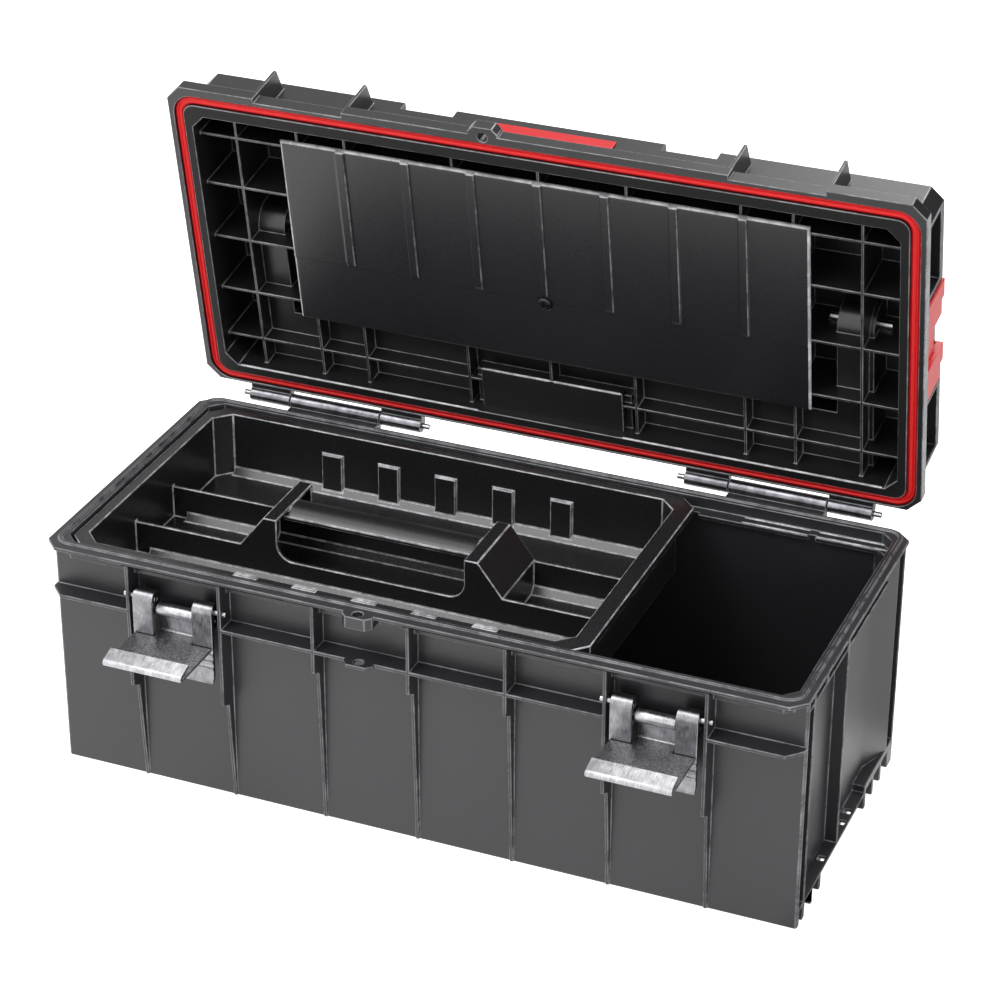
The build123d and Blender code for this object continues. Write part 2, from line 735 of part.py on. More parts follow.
# Latches: pin, lever, axle and hook on each side
for side, name in sides:
    mid_x = side * latch_x
    with BuildPart() as latch_pin:
        pin_half = latch_bay / 2 + rib_thick + latch_pin_stick
        for hand in (-1, 1):
            x_low, x_high = span(hand, lever_half - lug_width, pin_half)
            rod(mid_x + x_low, mid_x + x_high, latch_y, latch_z, latch_pin_radius)
    latch_pin.part.label = "latch_pin_" + name
    export_step(latch_pin.part, "parts/latch_pin_" + name + ".step")

    with BuildPart() as latch_lever:
        sill_z = hook_z - hook_thick - sill_gap
        foot_z = latch_z - lever_length
        lever_back = lever_face + lever_thick
        block(mid_x - lever_half, mid_x + lever_half, lever_face, lever_back, foot_z, sill_z)
        foot_points = (
            (lever_back, foot_z),
            (lever_face, foot_z),
            (lever_face - lever_foot_out, foot_z - lever_foot),
            (lever_face - lever_foot_out + lever_thick, foot_z - lever_foot),
        )
        across(mid_x - lever_half, mid_x + lever_half, foot_points)
        for count in range(lever_ridges):
            ridge_z = foot_z + (count + 1) * lever_ridge_pitch
            block(
                mid_x - lever_half, mid_x + lever_half, lever_face - lever_ridge_rise, lever_face,
                ridge_z, ridge_z + lever_ridge_height,
            )
        for hand in (-1, 1):
            x_low, x_high = span(hand, lever_half - lug_width, lever_half)
            rod(mid_x + x_low, mid_x + x_high, latch_y, latch_z, lug_radius)
            block(mid_x + x_low, mid_x + x_high, lever_face, lever_back, foot_z, latch_z)
            boss_points = (
                (lever_face, latch_z),
                (axle_y + axle_boss, latch_z),
                (axle_y + axle_boss, axle_z - axle_boss / 2),
                (axle_y, axle_z - axle_boss),
                (lever_face, axle_z - 2 * axle_boss),
            )
            across(mid_x + x_low, mid_x + x_high, boss_points)
        x_low = mid_x - lever_half - overrun
        x_high = mid_x + lever_half + overrun
        rod(x_low, x_high, latch_y, latch_z, latch_pin_radius + pin_play, Mode.SUBTRACT)
        rod(x_low, x_high, axle_y, axle_z, axle_radius + pin_play, Mode.SUBTRACT)
    latch_lever.part.label = "latch_lever_" + name
    export_step(latch_lever.part, "parts/latch_lever_" + name + ".step")

    with BuildPart() as latch_axle:
        rod(mid_x - lever_half, mid_x + lever_half, axle_y, axle_z, axle_radius)
    latch_axle.part.label = "latch_axle_" + name
    export_step(latch_axle.part, "parts/latch_axle_" + name + ".step")

    with BuildPart() as latch_hook:
        neck_rear = axle_y + hook_knuckle
        plate_end = axle_y - hook_reach
        rod(mid_x - hook_neck / 2, mid_x + hook_neck / 2, axle_y, axle_z, hook_knuckle)
        block(
            mid_x - hook_neck / 2, mid_x + hook_neck / 2, neck_rear - hook_thick, neck_rear,
            hook_z - hook_thick, axle_z,
        )
        block(
            mid_x - hook_neck / 2, mid_x + hook_neck / 2, lever_face - hook_gap - overrun,
            neck_rear, hook_z - hook_thick, hook_z,
        )
        block(
            mid_x - hook_width / 2, mid_x + hook_width / 2, plate_end, lever_face - hook_gap,
            hook_z - hook_thick, hook_z,
        )
        claw_low = hook_z - hook_thick
        claw_points = (
            (plate_end, claw_low),
            (plate_end, claw_low + claw_front),
            (plate_end + claw_back, claw_low + claw_rise),
            (plate_end + claw_back, claw_low + claw_rise - claw_thick),
            (plate_end + claw_root, hook_z),
            (plate_end + claw_root, claw_low),
        )
        across(mid_x - hook_lip / 2, mid_x + hook_lip / 2, claw_points)
        rod(
            mid_x - hook_neck, mid_x + hook_neck, axle_y, axle_z, axle_radius + pin_play, Mode.SUBTRACT,
        )
    latch_hook.part.label = "latch_hook_" + name
    export_step(latch_hook.part, "parts/latch_hook_" + name + ".step")

# Lift-out tray with a centre carrying grip
with BuildPart() as tray:
    tray_left = tray_play - open_x
    tray_right = rim_x * tray_right_share
    tray_front = open_front + tray_play
    tray_rear = open_rear - tray_play
    tray_top = case_height - tray_rim_drop
    tray_floor = tray_top - tray_depth
    skirt_low = tray_top - tray_skirt
    cup_left = tray_left + tray_side
    cup_right = tray_right - tray_right_side
    cup_front = tray_front + tray_side
    cup_rear = tray_rear - tray_side
    slab(tray_left, tray_right, tray_front, tray_rear, skirt_low, tray_top, tray_cut)
    slab(
        tray_left + tray_wall, tray_right - tray_wall, tray_front + tray_wall, tray_rear - tray_wall,
        skirt_low - overrun, tray_top - tray_rim_thick, tray_cut, Mode.SUBTRACT,
    )
    slab(
        cup_left - tray_wall, cup_right + tray_wall, cup_front - tray_wall, cup_rear + tray_wall,
        tray_floor - tray_wall, tray_top, tray_cut,
    )
    slab(cup_left, cup_right, cup_front, cup_rear, tray_floor, tray_top + overrun, tray_cut, Mode.SUBTRACT)
    tray_x = (tray_left + tray_right) / 2
    tray_y = (tray_front + tray_rear) / 2
    low_z = tray_top - divider_height
    for hand in (-1, 1):
        wall_y = tray_y + hand * divider_gap / 2
        block(
            cup_left - overrun, cup_right + overrun, wall_y - divider_thick / 2, wall_y + divider_thick / 2,
            tray_floor - overrun, low_z,
        )
        with BuildSketch(Plane.XZ.offset(-wall_y - divider_thick / 2)) as cheek:
            with BuildLine():
                Polyline(
                    (tray_x - bracket_out, tray_floor),
                    (tray_x - bracket_out, low_z),
                    (tray_x - bracket_in - bracket_top, tray_top),
                    (tray_x + bracket_in + bracket_top, tray_top),
                    (tray_x + bracket_out, low_z),
                    (tray_x + bracket_out, tray_floor),
                    close=True,
                )
            make_face()
        extrude(cheek.sketch, amount=divider_thick)
    for hand in (-1, 1):
        cheek_points = (
            (tray_x + hand * bracket_out, tray_floor - overrun),
            (tray_x + hand * bracket_out, low_z),
            (tray_x + hand * (bracket_in + bracket_top), tray_top),
            (tray_x + hand * bracket_in, tray_top),
            (tray_x + hand * bracket_in, tray_top - divider_thick),
            (tray_x + hand * (bracket_in + bracket_top - divider_thick), tray_top - divider_thick),
            (tray_x + hand * (bracket_out - divider_thick), low_z - divider_thick / 2),
            (tray_x + hand * (bracket_out - divider_thick), tray_floor - overrun),
        )
        with BuildSketch(Plane.XZ.offset(-tray_y - divider_gap / 2)) as bracket:
            with BuildLine():
                Polyline(*cheek_points, close=True)
            make_face()
        extrude(bracket.sketch, amount=divider_gap)
    with BuildSketch(Plane.XZ.offset(-tray_y - divider_gap)) as window:
        window_high = tray_top - tray_floor - window_base + 2 * window_round
        with Locations((tray_x, tray_floor + window_base + window_high / 2)):
            RectangleRounded(2 * bracket_in, window_high, window_round)
    extrude(window.sketch, amount=2 * divider_gap, mode=Mode.SUBTRACT)
    with BuildSketch(Plane.YZ.offset(tray_x - bracket_in - divider_thick)) as grip_bar:
        with BuildLine():
            grip_low = tray_top - grip_thick
            Line((tray_y - grip_depth / 2, grip_low), (tray_y + grip_depth / 2, grip_low))
            Line((tray_y + grip_depth / 2, grip_low), (tray_y + grip_depth / 2, grip_low + grip_edge))
            ThreePointArc(
                (tray_y + grip_depth / 2, grip_low + grip_edge),
                (tray_y, tray_top),
                (tray_y - grip_depth / 2, grip_low + grip_edge),
            )
            Line((tray_y - grip_depth / 2, grip_low + grip_edge), (tray_y - grip_depth / 2, grip_low))
        make_face()
    extrude(grip_bar.sketch, amount=2 * (bracket_in + divider_thick))
    rear_wall_y = tray_y + divider_gap / 2 - divider_thick / 2
    for wall_y in (cup_rear, rear_wall_y, rear_wall_y - divider_gap):
        bevel_points = ((wall_y, tray_floor), (wall_y, tray_floor + bevel), (wall_y - bevel, tray_floor))
        across(cup_left + tray_cut, cup_right - tray_cut, bevel_points)
    for count in range(pad_count):
        pad_x = tray_x + (count - (pad_count - 1) / 2) * pad_pitch
        block(
            pad_x - pad_width / 2, pad_x + pad_width / 2, cup_rear - pad_rise, cup_rear,
            tray_floor, tray_floor + pad_height,
        )
        tab_x = tray_x + tab_offset + (count - (pad_count - 1) / 2) * tab_pitch
        block(
            tab_x - pad_width / 2, tab_x + pad_width / 2, cup_front - tab_depth, cup_front,
            tray_top, tray_top + tab_rise,
        )
tray.part.label = "tray"
export_step(tray.part, "parts/tray.step")
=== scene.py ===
import json
import math

import bmesh
import bpy
import numpy as np
from mathutils import Matrix, Vector


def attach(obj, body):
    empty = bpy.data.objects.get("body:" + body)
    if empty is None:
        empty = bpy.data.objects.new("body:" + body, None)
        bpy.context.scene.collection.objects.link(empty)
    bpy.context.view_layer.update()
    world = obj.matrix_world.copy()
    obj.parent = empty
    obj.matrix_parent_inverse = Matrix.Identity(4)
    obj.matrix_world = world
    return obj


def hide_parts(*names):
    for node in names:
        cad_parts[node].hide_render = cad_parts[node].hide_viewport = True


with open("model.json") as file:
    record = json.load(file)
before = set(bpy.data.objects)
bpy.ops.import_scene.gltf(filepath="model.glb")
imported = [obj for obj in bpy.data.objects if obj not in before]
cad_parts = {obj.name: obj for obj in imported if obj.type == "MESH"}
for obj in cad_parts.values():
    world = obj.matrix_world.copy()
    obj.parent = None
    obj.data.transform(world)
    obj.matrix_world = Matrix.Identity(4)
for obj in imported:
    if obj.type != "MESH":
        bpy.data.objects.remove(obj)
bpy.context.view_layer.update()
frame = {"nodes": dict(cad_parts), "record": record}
nodes = frame["nodes"]
mm = 0.001
packedMaterials = len(bpy.data.materials)
print("frame loaded:", len(nodes), "nodes")


# sRGB hex to linear RGBA: the usual two-part curve, channel by channel
def colour(hexText):
    value = np.array([int(hexText[i:i + 2], 16) for i in (1, 3, 5)]) / 255
    linear = np.where(value <= 0.04045, value / 12.92, ((value + 0.055) / 1.055) ** 2.4)
    return (*linear.tolist(), 1.0)


# one node with its settings, socket values and links
def add(tree, kind, values=None, links=None, **settings):
    node = tree.nodes.new(kind)
    for key, value in settings.items():
        setattr(node, key, value)
    for socket, value in (values or {}).items():
        node.inputs[socket].default_value = value
    for socket, source in (links or {}).items():
        tree.links.new(source, node.inputs[socket])
    return node


# an empty material with a Principled shader on its output
def newMaterial(name, values):
    material = bpy.data.materials.new(name)
    material.use_nodes = True
    tree = material.node_tree
    tree.nodes.clear()
    shader = add(tree, "ShaderNodeBsdfPrincipled", values)
    add(tree, "ShaderNodeOutputMaterial", links={"Surface": shader.outputs[0]})
    return material, tree, shader


# Moulded polypropylene with a spark-eroded grain: satin, and a little mottled in clouds cloudMm wide.
# Real grain is about 0.3 mm; it is drawn at grainMm so that it shows. A deep matt grain has less gloss.
def mouldedPolypropylene(name, shade, pale, rough, grainMm, bump, gloss=0.5, cloudMm=70.0):
    material, tree, shader = newMaterial(name, {"IOR": 1.49, "Specular IOR Level": gloss})
    where = add(tree, "ShaderNodeTexCoord").outputs["Object"]
    grain = add(tree, "ShaderNodeTexNoise", {"Scale": 1 / (grainMm * mm), "Detail": 3.0, "Roughness": 0.6},
                {"Vector": where})
    cloud = add(tree, "ShaderNodeTexNoise", {"Scale": 1 / (cloudMm * mm), "Detail": 4.0, "Roughness": 0.55},
                {"Vector": where})
    tone = add(tree, "ShaderNodeMix", {"A": colour(shade), "B": colour(pale)}, data_type="RGBA")
    tree.links.new(cloud.outputs[0], tone.inputs["Factor"])
    speck = add(tree, "ShaderNodeMapRange", {"From Min": 0.35, "From Max": 0.7, "To Min": rough - 0.05,
                                             "To Max": rough + 0.07}, {"Value": grain.outputs[0]})
    bumpNode = add(tree, "ShaderNodeBump", {"Strength": bump, "Distance": 0.1 * mm},
                   {"Height": grain.outputs[0]})
    tree.links.new(tone.outputs["Result"], shader.inputs["Base Color"])
    tree.links.new(speck.outputs[0], shader.inputs["Roughness"])
    tree.links.new(bumpNode.outputs[0], shader.inputs["Normal"])
    return material


# Smooth moulding, thermoplastic rubber or coloured polypropylene: deep even colour and a soft broad sheen
def smoothMoulding(name, shade, pale, rough, cloudMm=9.0):
    material, tree, shader = newMaterial(name, {"IOR": 1.5, "Specular IOR Level": 0.5})
    where = add(tree, "ShaderNodeTexCoord").outputs["Object"]
    cloud = add(tree, "ShaderNodeTexNoise", {"Scale": 1 / (cloudMm * mm), "Detail": 4.0}, {"Vector": where})
    tone = add(tree, "ShaderNodeMix", {"A": colour(shade), "B": colour(pale)}, data_type="RGBA")
    tree.links.new(cloud.outputs[0], tone.inputs["Factor"])
    speck = add(tree, "ShaderNodeMapRange", {"To Min": rough - 0.06, "To Max": rough + 0.06},
                {"Value": cloud.outputs[0]})
    tree.links.new(tone.outputs["Result"], shader.inputs["Base Color"])
    tree.links.new(speck.outputs[0], shader.inputs["Roughness"])
    return material


# Plated or blackened steel, brushed along the axis whose share in across is small: streaks and blotches
# vary its shine. Real streaks are about 0.1 mm wide; they are drawn at streakMm so that they show.
def brushedSteel(name, shade, pale, rough, streakMm, across, blotchMm=6.0):
    material, tree, shader = newMaterial(name, {"Metallic": 1.0})
    where = add(tree, "ShaderNodeTexCoord").outputs["Object"]
    stretch = add(tree, "ShaderNodeMapping", {"Scale": across}, {"Vector": where})
    streak = add(tree, "ShaderNodeTexNoise", {"Scale": 1 / (streakMm * mm), "Detail": 3.0},
                 {"Vector": stretch.outputs[0]})
    blotch = add(tree, "ShaderNodeTexNoise", {"Scale": 1 / (blotchMm * mm), "Detail": 3.0},
                 {"Vector": where})
    both = add(tree, "ShaderNodeMath", links={0: streak.outputs[0], 1: blotch.outputs[0]},
               operation="MULTIPLY")
    tone = add(tree, "ShaderNodeMix", {"A": colour(shade), "B": colour(pale)}, data_type="RGBA")
    span = add(tree, "ShaderNodeMapRange", {"From Min": 0.12, "From Max": 0.4}, {"Value": both.outputs[0]})
    tree.links.new(span.outputs[0], tone.inputs["Factor"])
    speck = add(tree, "ShaderNodeMapRange", {"From Min": 0.3, "From Max": 0.7, "To Min": rough - 0.08,
                                             "To Max": rough + 0.1}, {"Value": streak.outputs[0]})
    bumpNode = add(tree, "ShaderNodeBump", {"Strength": 0.12, "Distance": 0.05 * mm},
                   {"Height": streak.outputs[0]})
    tree.links.new(tone.outputs["Result"], shader.inputs["Base Color"])
    tree.links.new(speck.outputs[0], shader.inputs["Roughness"])
    tree.links.new(bumpNode.outputs[0], shader.inputs["Normal"])
    return material


# Rounded edge of a moulding: smoother, and pale with paler patches patchMm wide, a painted highlight along
# the edge
def paintedHighlightPolypropylene(name, shade, pale, rough, patchMm):
    material, tree, shader = newMaterial(name, {"IOR": 1.49, "Specular IOR Level": 0.5})
    where = add(tree, "ShaderNodeTexCoord").outputs["Object"]
    patch = add(tree, "ShaderNodeTexNoise", {"Scale": 1 / (patchMm * mm), "Detail": 5.0, "Roughness": 0.65},
                {"Vector": where})
    amount = add(tree, "ShaderNodeMapRange", {"From Min": 0.38, "From Max": 0.66},
                 {"Value": patch.outputs[0]})
    tone = add(tree, "ShaderNodeMix", {"A": colour(shade), "B": colour(pale)}, data_type="RGBA")
    speck = add(tree, "ShaderNodeMapRange", {"To Min": rough, "To Max": rough + 0.12},
                {"Value": amount.outputs[0]})
    tree.links.new(amount.outputs[0], tone.inputs["Factor"])
    tree.links.new(tone.outputs["Result"], shader.inputs["Base Color"])
    tree.links.new(speck.outputs[0], shader.inputs["Roughness"])
    return material


# Cast zinc, unpolished: a dull, lumpy skin. Real pits are about 0.3 mm; they are drawn at pitMm.
def castZinc(name, shade, pale, rough, pitMm):
    material, tree, shader = newMaterial(name, {"Metallic": 1.0})
    where = add(tree, "ShaderNodeTexCoord").outputs["Object"]
    pits = add(tree, "ShaderNodeTexNoise", {"Scale": 1 / (pitMm * mm), "Detail": 5.0, "Roughness": 0.7},
               {"Vector": where})
    tone = add(tree, "ShaderNodeMix", {"A": colour(shade), "B": colour(pale)}, data_type="RGBA")
    level = add(tree, "ShaderNodeMapRange", {"From Min": 0.3, "From Max": 0.7}, {"Value": pits.outputs[0]})
    speck = add(tree, "ShaderNodeMapRange", {"To Min": rough - 0.1, "To Max": rough + 0.1},
                {"Value": level.outputs[0]})
    bumpNode = add(tree, "ShaderNodeBump", {"Strength": 0.6, "Distance": 0.15 * mm},
                   {"Height": pits.outputs[0]})
    tree.links.new(level.outputs[0], tone.inputs["Factor"])
    tree.links.new(tone.outputs["Result"], shader.inputs["Base Color"])
    tree.links.new(speck.outputs[0], shader.inputs["Roughness"])
    tree.links.new(bumpNode.outputs[0], shader.inputs["Normal"])
    return material


caseFinish = mouldedPolypropylene("charcoalPolypropylene", "#242427", "#2c2c2f", 0.40, 0.8, 0.5)
lidFinish = mouldedPolypropylene("blackPolypropylene", "#171719", "#1e1e20", 0.34, 0.8, 0.3)
panelFinish = mouldedPolypropylene("satinPolypropylene", "#1b1b1e", "#232326", 0.31, 0.8, 0.08)
trayFinish = mouldedPolypropylene("smoothPolypropylene", "#1a1a1c", "#212123", 0.30, 0.8, 0.15)
flangeFinish = mouldedPolypropylene("mattPolypropylene", "#0c0c0d", "#121213", 0.55, 0.8, 0.3, 0.2)
handleFinish = mouldedPolypropylene("grainedPolypropylene", "#202022", "#272729", 0.45, 1.0, 0.4)
# Edge finishes: pale colours that are painted highlights along rounded edges, rim sides, tab tops and beads
caseEdgeHighlight = paintedHighlightPolypropylene("paintedHighlightCharcoal", "#444448", "#8a8a8d", 0.24, 14.0)
lidEdgeHighlight = paintedHighlightPolypropylene("paintedHighlightBlack", "#505054", "#9a9a9d", 0.22, 16.0)
trayEdgeHighlight = paintedHighlightPolypropylene("paintedHighlightSmooth", "#7c7c80", "#dcdcdf", 0.22, 9.0)
panelEdgeHighlight = paintedHighlightPolypropylene("paintedHighlightSatin", "#9a9a9e", "#e8e8ea", 0.2, 12.0)
gripFinish = smoothMoulding("blackGripRubber", "#1b1b1d", "#232325", 0.62)
sealFinish = smoothMoulding("redSealRubber", "#e0050b", "#ee0a12", 0.5)
redFinish = smoothMoulding("redPolypropylene", "#c8050b", "#d80a11", 0.36)
pinFinish = brushedSteel("zincPin", "#77777a", "#a5a5a8", 0.26, 0.5, (0.02, 1.0, 1.0))
knuckleFinish = brushedSteel("zincKnuckle", "#46464a", "#7a7a7e", 0.27, 0.5, (0.02, 1.0, 1.0))
screwFinish = brushedSteel("blackenedSteel", "#2e2e31", "#47474a", 0.36, 0.6, (1.0, 1.0, 1.0))
leverFinish = brushedSteel("brushedZincLever", "#606063", "#8c8c8f", 0.32, 0.5, (1.0, 1.0, 0.08))
clawFinish = brushedSteel("brushedZincClaw", "#7c7c7f", "#b0b0b3", 0.34, 0.6, (1.0, 0.08, 0.08))
hookFinish = castZinc("castZincPlate", "#505053", "#b2b2b5", 0.42, 1.3)
print("materials made:", len(bpy.data.materials) - packedMaterials)

slotOf = {part["node"]: part["material_slot"] for part in frame["record"]["subparts"]}
bodies = frame["record"]["behaviour"]["bodies"]
bodyOf = {node: body for body, members in bodies.items() for node in members}
joints = {joint["name"]: joint for joint in frame["record"]["behaviour"]["joints"]}
hingePlace = np.array(joints["lid_hinge"]["pos_m"])
hingeAngle = math.radians(joints["lid_hinge"]["range_deg"][1])


# The lid's pieces are laid out with the lid shut and then swung open about the hinge by its rest angle:
# y' = y cos a + z sin a, z' = z cos a - y sin a
def swung(points, angle):
    arm = np.asarray(points, float) - hingePlace
    turned = np.stack([arm[:, 0], arm[:, 1] * math.cos(angle) + arm[:, 2] * math.sin(angle),
                       arm[:, 2] * math.cos(angle) - arm[:, 1] * math.sin(angle)], 1)
    return turned + hingePlace


# Zones of the imported solids with a finish of their own: the hinge knuckles are zinc, the sides of the lid's
# rim and the tray's front tabs and pad tops take the pale edge finish, a painted highlight, and the lid's
# flange inside the seal is matt.
# Places in millimetres, the flange's with the lid shut. A face looks along an axis where its normal's share
# there is over alongShare, and across it where that is under acrossShare
zones = {"knuckle": 5.7, "rimX": 268.5, "tabZ": 175.0, "padZ": 157.0, "padY": 102.0, "padNear": 0.3,
         "alongShare": 0.9, "acrossShare": 0.5,
         "flangeLow": (-259.8, -109.7, 176.7), "flangeHigh": (259.8, 115.8, 176.9)}
plainZone, highlightZone, zincZone, mattZone = range(4)
hingeY, hingeZ = hingePlace[1:] / mm


def caseZone(face):
    where = face.calc_center_median() / mm
    onPin = math.hypot(where.y - hingeY, where.z - hingeZ) < zones["knuckle"]
    return zincZone if onPin and abs(face.normal.x) < zones["acrossShare"] else plainZone


def lidZone(face):
    shut = swung([corner.co for corner in face.verts], -hingeAngle) / mm
    if (shut > zones["flangeLow"]).all() and (shut < zones["flangeHigh"]).all():
        return mattZone
    atRim = abs(face.calc_center_median().x) > zones["rimX"] * mm
    rimSide = atRim and abs(face.normal.x) > zones["alongShare"]
    # the sides of the lid's rim take the painted highlight
    return highlightZone if rimSide else caseZone(face)


def trayZone(face):
    where = face.calc_center_median() / mm
    atPad = abs(where.z - zones["padZ"]) < zones["padNear"] and where.y > zones["padY"]
    padTop = atPad and face.normal.z > zones["alongShare"]
    # pad tops and front tabs take the painted highlight
    return highlightZone if padTop or where.z > zones["tabZ"] else plainZone


zoneOf = {"base_tub": caseZone, "lid_shell": lidZone, "tray": trayZone}

# Moulded pieces: faces within flat degrees are joined, edges over sharp degrees are rounded, and faces that
# meet at angles between level and sharp are parts of a curve. Rounding of each piece's edges in millimetres
moulded = {"weld": 0.002, "flat": 0.3, "level": 0.5, "sharp": 35.0, "segments": 2}
edgeWidths = {"base_tub": 0.7, "lid_shell": 0.6, "front_plate": 0.5, "tray": 0.8, "carry_handle": 1.0,
              "side_clip_left": 0.7, "side_clip_right": 0.7}
for side in ("left", "right"):
    edgeWidths.update({"latch_lever_" + side: 0.6, "latch_pin_" + side: 0.5, "latch_axle_" + side: 0.3,
                       "hinge_pin_" + side: 0.5, "handle_pin_" + side: 0.5, "clip_pin_" + side: 0.4})
finishes = {"case_plastic": (caseFinish, caseEdgeHighlight), "lid_plastic": (lidFinish, lidEdgeHighlight),
            "tray_plastic": (trayFinish, trayEdgeHighlight), "handle_plastic": (handleFinish, lidEdgeHighlight),
            "red_plate": (redFinish,), "red_clip": (redFinish,), "pin_steel": (pinFinish,),
            "lever_steel": (leverFinish,)}


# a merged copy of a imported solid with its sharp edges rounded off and, where it has zones, their finishes
def softEdged(node, width, finish, edgeFinish=None):
    zone = zoneOf.get(node)
    mesh = nodes[node].data.copy()
    for stale in ("custom_normal", "sharp_edge", "sharp_face"):
        if stale in mesh.attributes:
            mesh.attributes.remove(mesh.attributes[stale])
    mesh.materials.clear()
    for material in (finish, edgeFinish, knuckleFinish, flangeFinish) if edgeFinish else (finish,):
        mesh.materials.append(material)
    flat, level, sharp = (math.radians(moulded[key]) for key in ("flat", "level", "sharp"))
    shell = bmesh.new()
    shell.from_mesh(mesh)
    bmesh.ops.remove_doubles(shell, verts=shell.verts, dist=moulded["weld"] * mm)
    bmesh.ops.dissolve_limit(shell, angle_limit=flat, verts=shell.verts, edges=shell.edges)
    for face in shell.faces:
        turns = [edge.calc_face_angle(0.0) for edge in face.edges]
        face.smooth = any(level < turn < sharp for turn in turns)
        face.material_index = zone(face) if zone else plainZone
    shell.to_mesh(mesh)
    shell.free()
    piece = bpy.data.objects.new(node + "Moulded", mesh)
    bpy.context.scene.collection.objects.link(piece)
    edge = piece.modifiers.new("edge", "BEVEL")
    edge.width = width * mm
    edge.segments = moulded["segments"]
    edge.limit_method = "ANGLE"
    edge.angle_limit = sharp
    edge.use_clamp_overlap = False
    edge.harden_normals = True
    # every rounded edge takes the pale edge finish: a painted highlight along it
    edge.material = highlightZone if edgeFinish else -1
    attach(piece, bodyOf[node])
    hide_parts(node)


for node, width in edgeWidths.items():
    softEdged(node, width, *finishes[slotOf[node]])
print("moulded pieces made:", len(edgeWidths))


# corner points of a node's box, as packed or with the lid shut
def boxOf(node, shut=False):
    mesh = nodes[node].data
    points = np.empty(3 * len(mesh.vertices))
    mesh.vertices.foreach_get("co", points)
    points = points.reshape(-1, 3)
    points = swung(points, -hingeAngle) if shut else points
    return points.min(0), points.max(0)


# 0 to 1 over the span from a to b, with level ends
def ease(value, a, b):
    share = np.clip((value - a) / (b - a), 0, 1)
    return share * share * (3 - 2 * share)


# quads of an n by m lattice of points, wrapped round where asked
def latticeFaces(n, m, wrapN=False, wrapM=False):
    i, j = np.meshgrid(np.arange(n if wrapN else n - 1), np.arange(m if wrapM else m - 1), indexing="ij")
    nextI, nextJ = (i + 1) % n, (j + 1) % m
    return np.stack([i * m + j, nextI * m + j, nextI * m + nextJ, i * m + nextJ], -1).reshape(-1, 4)


# A profile of radii and heights carried round a rectangle with round corners, whose centres lie a reach
# inside its sides: corner's centre + radius (cos, sin) of the station's angle
def carriedRound(low, high, reach, arc, radius, height):
    quarter = np.repeat(np.arange(4), arc)
    angle = np.radians(np.tile(np.linspace(0, 90, arc), 4) + 90 * quarter)
    right, rear = np.isin(quarter, (0, 3)), np.isin(quarter, (0, 1))
    centreX = np.where(right, high[0] - reach, low[0] + reach)
    centreY = np.where(rear, high[1] - reach, low[1] + reach)
    return np.stack([centreX[:, None] + np.outer(np.cos(angle), radius),
                     centreY[:, None] + np.outer(np.sin(angle), radius),
                     np.broadcast_to(height, (len(angle), len(height)))], -1)


# points of a piece that are closer than this are one point
pointGap = 0.001 * mm


# a piece from points and faces, turned outward, that rides with a node's body and takes the node's place
# where asked; edges that turn by more than the crease stay sharp
def newPiece(name, points, faces, finish, node, creaseDegrees=40, replace=True):
    mesh = bpy.data.meshes.new(name)
    mesh.from_pydata(np.asarray(points).tolist(), [], [list(face) for face in faces])
    shell = bmesh.new()
    shell.from_mesh(mesh)
    bmesh.ops.remove_doubles(shell, verts=shell.verts, dist=pointGap)
    bmesh.ops.recalc_face_normals(shell, faces=shell.faces)
    for face in shell.faces:
        face.smooth = True
    for edge in shell.edges:
        edge.smooth = edge.calc_face_angle(0.0) < math.radians(creaseDegrees)
    shell.to_mesh(mesh)
    shell.free()
    mesh.materials.append(finish)
    piece = bpy.data.objects.new(name, mesh)
    bpy.context.scene.collection.objects.link(piece)
    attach(piece, bodyOf[node])
    if replace:
        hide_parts(node)
    return piece


# further finishes for a piece's faces: 0 keeps the first one, 1 takes the next and so on
def dress(piece, choice, *further):
    for finish in further:
        piece.data.materials.append(finish)
    piece.data.polygons.foreach_set("material_index", np.asarray(choice).astype(np.int32))


# centres and normals of a piece's faces
def facesOf(piece):
    polygons = piece.data.polygons
    centres, normals = np.empty((2, 3 * len(polygons)))
    polygons.foreach_get("center", centres)
    polygons.foreach_get("normal", normals)
    return centres.reshape(-1, 3), normals.reshape(-1, 3)


# Seal: a strip with two rounded lips, swept round a rounded rectangle.
# Lip depth over the width t: dip (1 + cos 4 pi t) / 2
seal = {"corner": 12.2, "half": 3.2, "dip": 0.9, "arc": 16, "across": 33}
low, high = boxOf("lid_seal", shut=True)
t = np.linspace(0, 1, seal["across"])
offset = np.concatenate([(2 * t - 1) * seal["half"], (seal["half"], -seal["half"])])
height = np.concatenate([low[2] + seal["dip"] * mm * (1 + np.cos(4 * np.pi * t)) / 2, (high[2], high[2])])
points = carriedRound(low, high, (seal["corner"] + seal["half"]) * mm, seal["arc"],
                      (seal["corner"] + offset) * mm, height)
newPiece("lidSealLips", swung(points.reshape(-1, 3), hingeAngle),
         latticeFaces(*points.shape[:2], True, True), sealFinish, "lid_seal")
print("seal swept:", len(points), "stations")

# Cover panel: one height over x and y, with rounded ribs, a fold line, a soft border and the screw's seat.
# The ribs rise over ease(half - shoulder .. half) and fade at their ends; the border is a quarter ellipse
panel = {"ribs": 7, "pitch": 48.3, "ribHalf": 3.75, "shoulder": 1.3, "ribRise": 2.0, "ribStart": 1.0,
         "ribFade": 4.0, "fold": 96.0, "foldHalf": 0.3, "step": 0.6, "border": 1.5, "edge": 2.0, "seat": 6.0,
         "seatEdge": 1.0, "seatClear": 1.5, "glint": 1.5, "crestLean": 0.3, "crease": 30.0, "fine": 2.0,
         "close": 0.8, "closeReach": 8.0, "flankColumns": 5,
         "insets": (0.08, 0.25, 0.5, 0.8, 1.15, 1.6, 2.0)}


# distance from the middle of the nearest rib, in millimetres
def ribOffset(x):
    return np.abs((x / mm + panel["pitch"] / 2) % panel["pitch"] - panel["pitch"] / 2)


